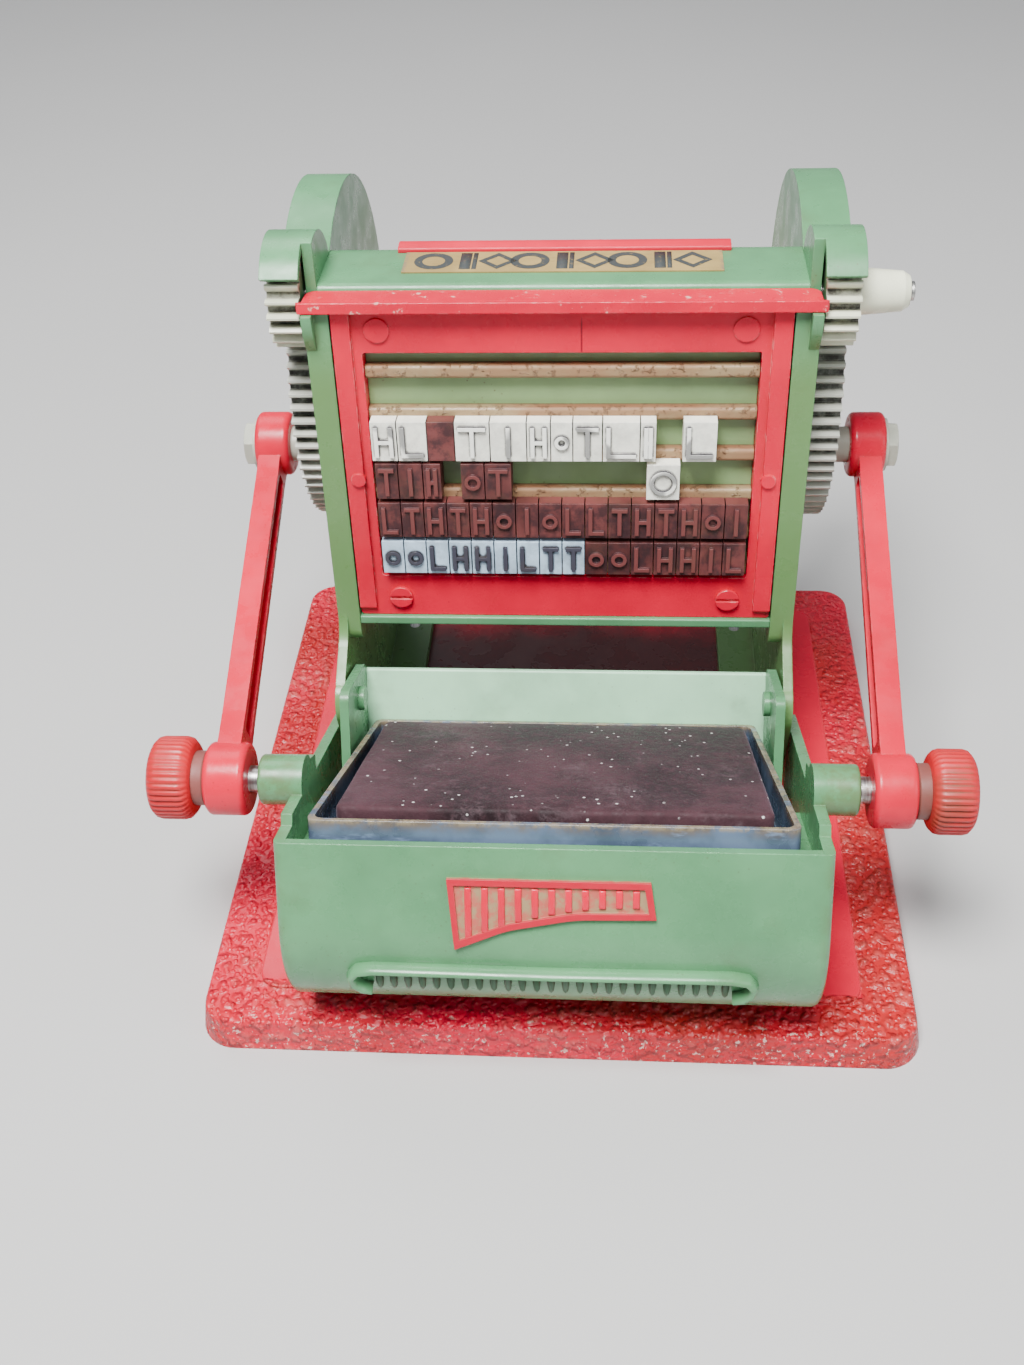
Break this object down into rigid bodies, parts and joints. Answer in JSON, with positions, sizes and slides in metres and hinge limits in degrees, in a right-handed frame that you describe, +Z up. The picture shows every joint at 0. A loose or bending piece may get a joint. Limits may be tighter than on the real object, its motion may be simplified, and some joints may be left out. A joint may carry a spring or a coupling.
{
  "type": "toy platen printing press",
  "caption": "Hand-cranked toy platen press: geared side wheels and rods close a hinged jaw with an ink pad against a lift-out chase of movable rubber type.",
  "frame": {"origin": "middle of the base plate's footprint, on the surface it stands on", "axes": "+X to the operator's right, -Y towards the operator and the open jaw, +Z up"},
  "size_m": [0.175, 0.1784, 0.1508],
  "materials": {
    "red_plastic": "glossy crimson moulded plastic, faded and scuffed on the raised border",
    "green_plastic": "pastel green moulded plastic, grime in the corners",
    "mint_plastic": "slightly paler mint green moulded plastic",
    "label_paper": "kraft paper label with plain dark blocks",
    "rail_plastic": "tan rails stained by ink",
    "white_rubber": "ivory rubber printing type",
    "brown_rubber": "brown rubber printing type",
    "pale_rubber": "blue-white rubber printing type",
    "gear_plastic": "silver-grey moulded gear plastic",
    "ivory_plastic": "ivory moulded plastic",
    "steel": "plain turned steel, lightly tarnished",
    "bolt_plastic": "light grey moulded bolt head",
    "red_knob": "ribbed red knob, dirt between the ribs",
    "tray_plastic": "cloudy blue-grey plastic",
    "ink_felt": "purple-black inked felt, dusty"
  },
  "bodies": {
    "frame": {"base_plate": "red_plastic", "frame_screws": "steel", "cheek_left": "green_plastic", "cheek_right": "green_plastic", "hood": "green_plastic", "hood_label": "label_paper", "rear_plate": "red_plastic", "bed_back": "green_plastic"},
    "chase": {"chase": "red_plastic", "chase_screws": "red_plastic", "type_plate": "mint_plastic", "type_rails": "rail_plastic", "type_white": "white_rubber", "type_brown": "brown_rubber", "type_pale": "pale_rubber", "type_loose": "white_rubber"},
    "gears": {"gear_left": "gear_plastic", "gear_right": "gear_plastic", "gear_axle": "steel", "axle_rings": "bolt_plastic"},
    "pinions": {"pinion_left": "ivory_plastic", "pinion_right": "ivory_plastic", "pinion_shaft": "steel", "crank_hub": "ivory_plastic"},
    "jaw": {"jaw_shell": "green_plastic", "jaw_platen": "green_plastic", "jaw_arm_left": "green_plastic", "jaw_arm_right": "green_plastic", "jaw_wall": "mint_plastic", "hinge_pins": "green_plastic", "grip_lip": "green_plastic", "nameplate": "red_plastic", "trunnion_studs": "steel"},
    "rod_left": {"rod_left": "red_plastic", "crank_bolt_left": "bolt_plastic", "crank_washers_left": "bolt_plastic"},
    "rod_right": {"rod_right": "red_plastic", "crank_bolt_right": "bolt_plastic", "crank_washers_right": "bolt_plastic"},
    "knob_left": {"knob_left": "red_knob", "knob_collar_left": "red_knob"},
    "knob_right": {"knob_right": "red_knob", "knob_collar_right": "red_knob"},
    "tray": {"ink_tray": "tray_plastic", "ink_pad": "ink_felt"}
  },
  "joints": [
    {"name": "gear_turn", "type": "hinge", "parent": "frame", "child": "gears", "pos_m": [0, 0.0485, 0.1045], "axis": [1, 0, 0], "range_deg": [0, 110]},
    {"name": "jaw_close", "type": "hinge", "parent": "frame", "child": "jaw", "pos_m": [0, -0.014, 0.047], "axis": [-1, 0, 0], "range_deg": [0, 68.1]},
    {"name": "crank_turn", "type": "hinge", "parent": "frame", "child": "pinions", "pos_m": [0, 0.01433, 0.1375], "axis": [1, 0, 0], "range_deg": [-412.6, 0]},
    {"name": "rod_left_swing", "type": "hinge", "parent": "jaw", "child": "rod_left", "pos_m": [-0.071, -0.0505, 0.056], "axis": [1, 0, 0], "range_deg": [0, 49.91]},
    {"name": "rod_right_swing", "type": "hinge", "parent": "jaw", "child": "rod_right", "pos_m": [0.071, -0.0505, 0.056], "axis": [1, 0, 0], "range_deg": [0, 49.91]},
    {"name": "knob_left_turn", "type": "hinge", "parent": "jaw", "child": "knob_left", "pos_m": [-0.084, -0.0505, 0.056], "axis": [1, 0, 0], "continuous": true},
    {"name": "knob_right_turn", "type": "hinge", "parent": "jaw", "child": "knob_right", "pos_m": [0.084, -0.0505, 0.056], "axis": [1, 0, 0], "continuous": true},
    {"name": "chase_lift", "type": "slide", "parent": "frame", "child": "chase", "axis": [0, 0.108, 0.9942], "range_m": [0, 0.07]},
    {"name": "tray_lift", "type": "slide", "parent": "jaw", "child": "tray", "axis": [0, 0.4226, 0.9063], "range_m": [0, 0.012]}
  ],
  "couplings": [
    {"joint": "jaw_close", "follows": "gear_turn", "ratio": 0.619},
    {"joint": "crank_turn", "follows": "gear_turn", "ratio": -3.75},
    {"joint": "rod_left_swing", "follows": "gear_turn", "ratio": 0.4536},
    {"joint": "rod_right_swing", "follows": "gear_turn", "ratio": 0.4536}
  ]
}
